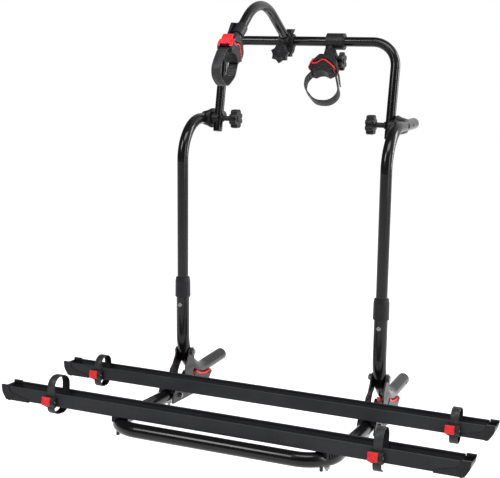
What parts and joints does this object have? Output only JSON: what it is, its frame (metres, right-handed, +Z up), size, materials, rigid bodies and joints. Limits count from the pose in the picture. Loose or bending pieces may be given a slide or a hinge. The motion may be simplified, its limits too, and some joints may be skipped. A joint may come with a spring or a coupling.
{
  "type": "motorhome bike rack",
  "caption": "Folding rear-wall bicycle rack for a motorhome: wheel channels on a hinged platform, telescopic side tubes, a tilting hoop and strap-type frame holders.",
  "frame": {"origin": "on the vehicle wall plane, midway between the lower arms, at the height of their axes", "axes": "+X along the wheel rails (vehicle width), +Y towards the vehicle wall, +Z up"},
  "size_m": [1.29, 0.7303, 1.1569],
  "materials": {
    "gloss_black": "satin gloss black paint",
    "plate_black": "satin black paint",
    "dark_rail": "matte dark anodised",
    "black_plastic": "fine grain",
    "red_plastic": "smooth",
    "clear_plug": "translucent white",
    "black_rubber": "matte",
    "zinc_steel": "zinc plated",
    "nylon_bush": "smooth"
  },
  "bodies": {
    "wall_frame": {"lower_tube_right": "gloss_black", "lower_tube_left": "gloss_black", "lower_tube_plugs": "clear_plug", "height_collars": "black_plastic", "height_screws": "zinc_steel", "pivot_bushes": "nylon_bush", "pivot_bolts": "zinc_steel", "pivot_nuts": "zinc_steel"},
    "platform": {"rail_rear": "dark_rail", "rail_front": "dark_rail", "rail_caps": "black_plastic", "foot_bar": "gloss_black", "foot_bar_plugs": "black_plastic", "rail_saddles": "black_plastic", "rail_bolts": "zinc_steel", "frame_nuts": "zinc_steel", "hinge_bolts": "zinc_steel", "hinge_plates_right": "plate_black", "hinge_plates_left": "plate_black", "hinge_spacers": "black_plastic", "foot_pegs": "black_rubber", "lever_pins": "zinc_steel"},
    "lock_right": {"lock_lever_right": "plate_black", "lock_pad_right": "red_plastic"},
    "lock_left": {"lock_lever_left": "plate_black", "lock_pad_left": "red_plastic"},
    "upper_frame": {"upper_tube_right": "gloss_black", "upper_tube_left": "gloss_black", "upper_tube_plugs": "clear_plug", "tube_clamps": "black_plastic", "clamp_bolts": "zinc_steel"},
    "knob_right": {"clamp_knob_right": "black_plastic"},
    "knob_left": {"clamp_knob_left": "black_plastic"},
    "hoop": {"hoop_tube": "gloss_black", "hoop_plugs": "black_plastic", "leg_saddles": "black_plastic"},
    "long_slider": {"arm_bush": "nylon_bush"},
    "long_arm": {"arm_clamp": "black_plastic", "arm_tube": "gloss_black", "arm_bolt": "zinc_steel"},
    "long_knob": {"arm_knob": "black_plastic"},
    "long_holder": {"long_head": "black_plastic", "long_liner": "red_plastic", "long_strap": "black_rubber"},
    "long_release": {"long_lever": "red_plastic"},
    "short_slider": {"short_bush": "nylon_bush"},
    "short_holder": {"short_head": "black_plastic", "short_liner": "red_plastic", "short_strap": "black_rubber"},
    "short_turn_knob": {"short_knob": "black_plastic"},
    "short_release": {"short_lever": "red_plastic"},
    "strap_front_left": {"wheel_strap_front_left": "black_rubber"},
    "lever_front_left": {"wheel_lever_front_left": "red_plastic"},
    "strap_rear_left": {"wheel_strap_rear_left": "black_rubber"},
    "lever_rear_left": {"wheel_lever_rear_left": "red_plastic"},
    "strap_front_right": {"wheel_strap_front_right": "black_rubber"},
    "lever_front_right": {"wheel_lever_front_right": "red_plastic"},
    "strap_rear_right": {"wheel_strap_rear_right": "black_rubber"},
    "lever_rear_right": {"wheel_lever_rear_right": "red_plastic"}
  },
  "joints": [
    {"name": "platform_fold", "type": "hinge", "parent": "wall_frame", "child": "platform", "pos_m": [0, -0.26088, 0.08083], "axis": [-1, 0, 0], "range_deg": [0, 85.8]},
    {"name": "lock_lever_right", "type": "hinge", "parent": "platform", "child": "lock_right", "pos_m": [0.302, -0.24768, -0.03322], "axis": [-1, 0, 0], "range_deg": [0, 35]},
    {"name": "lock_lever_left", "type": "hinge", "parent": "platform", "child": "lock_left", "pos_m": [-0.302, -0.24768, -0.03322], "axis": [-1, 0, 0], "range_deg": [0, 35]},
    {"name": "upper_height", "type": "slide", "parent": "wall_frame", "child": "upper_frame", "axis": [0, 0, 1], "range_m": [-0.025, 0.05]},
    {"name": "clamp_knob_right", "type": "hinge", "parent": "upper_frame", "child": "knob_right", "pos_m": [0.208, -0.112, 0.767], "axis": [1, 0, 0], "continuous": true},
    {"name": "clamp_knob_left", "type": "hinge", "parent": "upper_frame", "child": "knob_left", "pos_m": [-0.208, -0.112, 0.767], "axis": [1, 0, 0], "continuous": true},
    {"name": "hoop_tilt", "type": "hinge", "parent": "upper_frame", "child": "hoop", "pos_m": [0, -0.112, 0.767], "axis": [1, 0, 0], "range_deg": [-6, 80]},
    {"name": "long_arm_slide", "type": "slide", "parent": "hoop", "child": "long_slider", "axis": [1, 0, 0], "range_m": [-0.095, 0.01]},
    {"name": "long_arm_swing", "type": "hinge", "parent": "long_slider", "child": "long_arm", "pos_m": [-0.066, -0.06575, 0.99536], "axis": [1, 0, 0], "range_deg": [-70, 35]},
    {"name": "long_knob_turn", "type": "hinge", "parent": "long_arm", "child": "long_knob", "pos_m": [-0.066, -0.12975, 0.96036], "axis": [0, 1, 0], "continuous": true},
    {"name": "long_holder_swivel", "type": "hinge", "parent": "long_arm", "child": "long_holder", "pos_m": [-0.066, -0.41309, 1.0207], "axis": [0, 0.8028, 0.5962], "range_deg": [-90, 90]},
    {"name": "long_release_press", "type": "hinge", "parent": "long_holder", "child": "long_release", "pos_m": [-0.066, -0.48329, 1.01029], "axis": [-1, 0, 0], "range_deg": [0, 30], "stiffness_Nm_per_rad": 0.2},
    {"name": "short_slide", "type": "slide", "parent": "hoop", "child": "short_slider", "axis": [1, 0, 0], "range_m": [-0.03, 0.07]},
    {"name": "short_swing", "type": "hinge", "parent": "short_slider", "child": "short_holder", "pos_m": [0.0835, -0.06575, 0.99536], "axis": [1, 0, 0], "range_deg": [-60, 60]},
    {"name": "short_knob_turn", "type": "hinge", "parent": "short_holder", "child": "short_turn_knob", "pos_m": [0.1, -0.08875, 0.94036], "axis": [1, 0, 0], "continuous": true},
    {"name": "short_release_press", "type": "hinge", "parent": "short_holder", "child": "short_release", "pos_m": [0.0343, -0.1097, 0.9391], "axis": [0, 0.788, -0.6157], "range_deg": [0, 30], "stiffness_Nm_per_rad": 0.2},
    {"name": "strap_slide_front_left", "type": "slide", "parent": "platform", "child": "strap_front_left", "axis": [1, 0, 0], "range_m": [-0.045, 0.1]},
    {"name": "strap_release_front_left", "type": "hinge", "parent": "strap_front_left", "child": "lever_front_left", "pos_m": [-0.4915, -0.71187, 0.04963], "axis": [-1, 0, 0], "range_deg": [0, 30], "stiffness_Nm_per_rad": 0.1},
    {"name": "strap_slide_rear_left", "type": "slide", "parent": "platform", "child": "strap_rear_left", "axis": [1, 0, 0], "range_m": [-0.018, 0.15]},
    {"name": "strap_release_rear_left", "type": "hinge", "parent": "strap_rear_left", "child": "lever_rear_left", "pos_m": [-0.533, -0.40469, 0.02718], "axis": [-1, 0, 0], "range_deg": [0, 30], "stiffness_Nm_per_rad": 0.1},
    {"name": "strap_slide_front_right", "type": "slide", "parent": "platform", "child": "strap_front_right", "axis": [1, 0, 0], "range_m": [-0.06, 0.11]},
    {"name": "strap_release_front_right", "type": "hinge", "parent": "strap_front_right", "child": "lever_front_right", "pos_m": [0.416, -0.71187, 0.04963], "axis": [-1, 0, 0], "range_deg": [0, 30], "stiffness_Nm_per_rad": 0.1},
    {"name": "strap_slide_rear_right", "type": "slide", "parent": "platform", "child": "strap_rear_right", "axis": [1, 0, 0], "range_m": [-0.18, 0]},
    {"name": "strap_release_rear_right", "type": "hinge", "parent": "strap_rear_right", "child": "lever_rear_right", "pos_m": [0.531, -0.40469, 0.02718], "axis": [-1, 0, 0], "range_deg": [0, 30], "stiffness_Nm_per_rad": 0.1}
  ]
}
